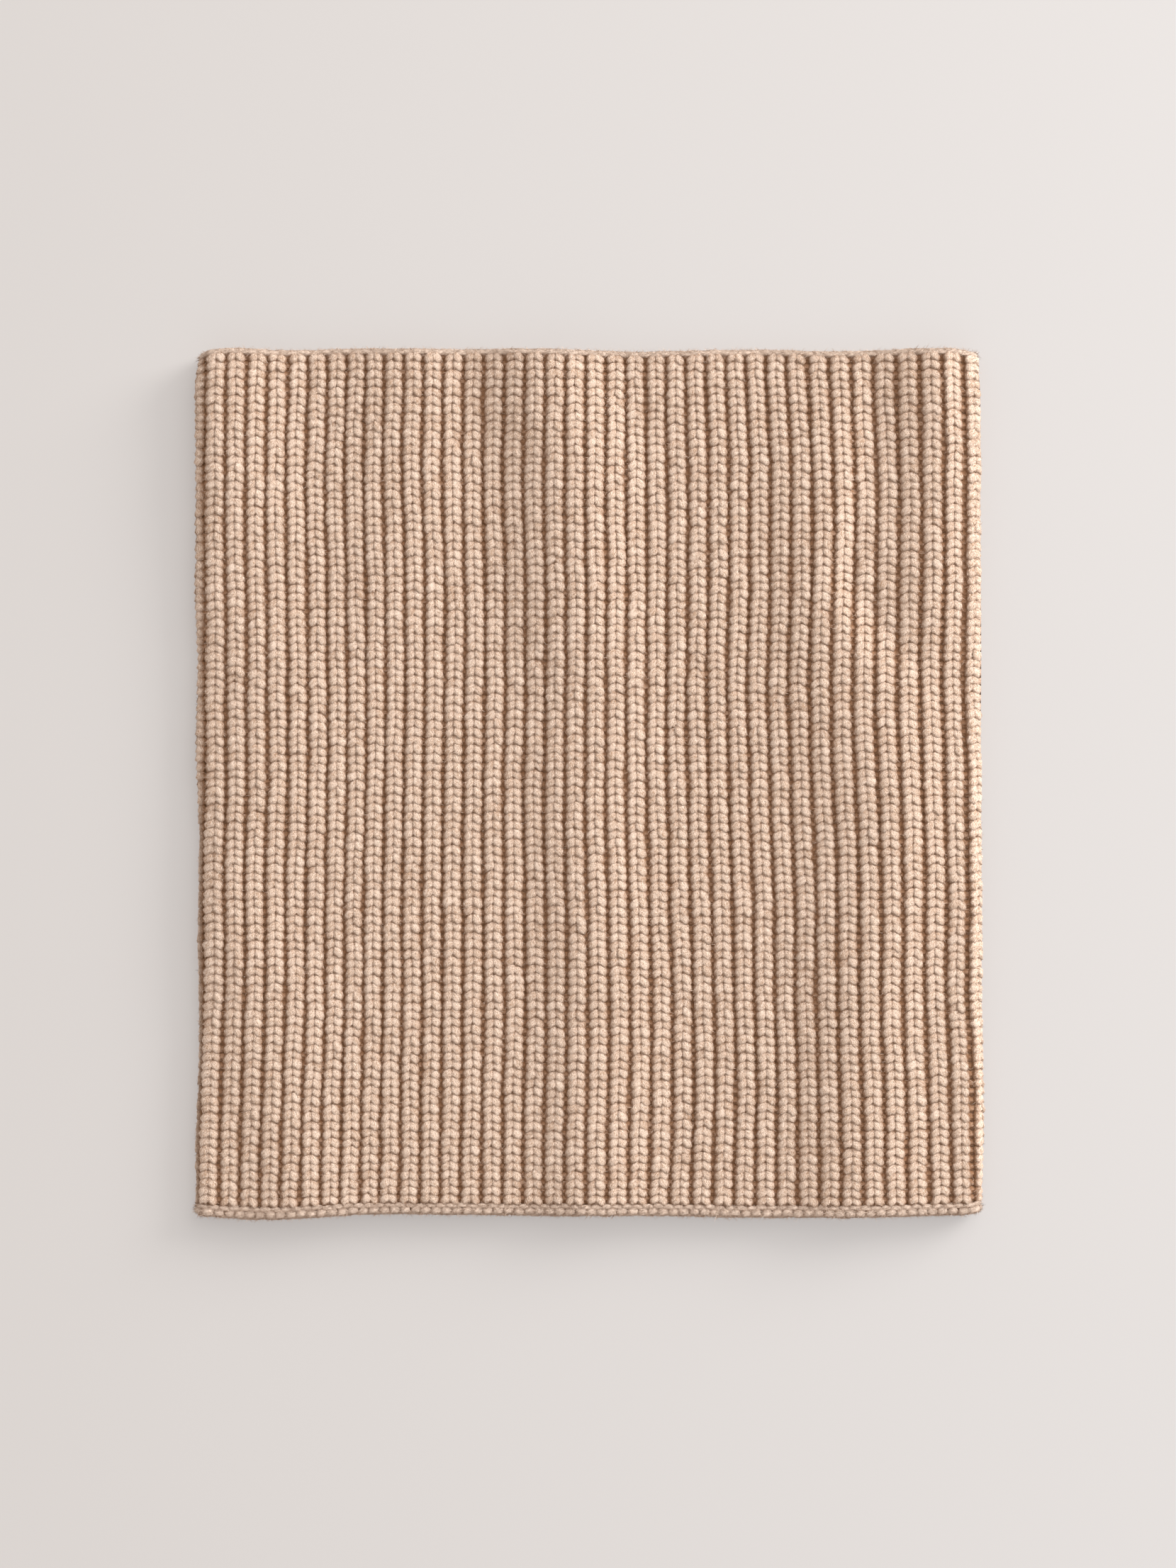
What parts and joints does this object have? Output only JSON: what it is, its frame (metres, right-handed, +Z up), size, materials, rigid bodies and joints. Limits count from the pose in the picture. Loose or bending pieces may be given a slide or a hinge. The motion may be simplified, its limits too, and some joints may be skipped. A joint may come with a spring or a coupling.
{
  "type": "infinity scarf",
  "caption": "Short ribbed knit infinity scarf lying flat, a wide tube of chunky yarn that is pulled over the head to warm the neck.",
  "frame": {"origin": "on the surface that the scarf lies on, under the middle of its outline", "axes": "+Z up from the surface, +Y along the ribs towards the cast-on edge, +X across the ribs, to the right when seen from above with the cast-on edge at the top"},
  "size_m": [0.2898, 0.32, 0.0147],
  "materials": {
    "knit": "matte chunky rib knit in pale camel yarn, softly fuzzy",
    "chain_edge": "matte bound-off chain of the same pale camel yarn"
  },
  "bodies": {
    "root": {"front_panel": "knit", "back_panel": "knit", "bound_off_front": "chain_edge", "bound_off_back": "chain_edge"}
  },
  "joints": []
}
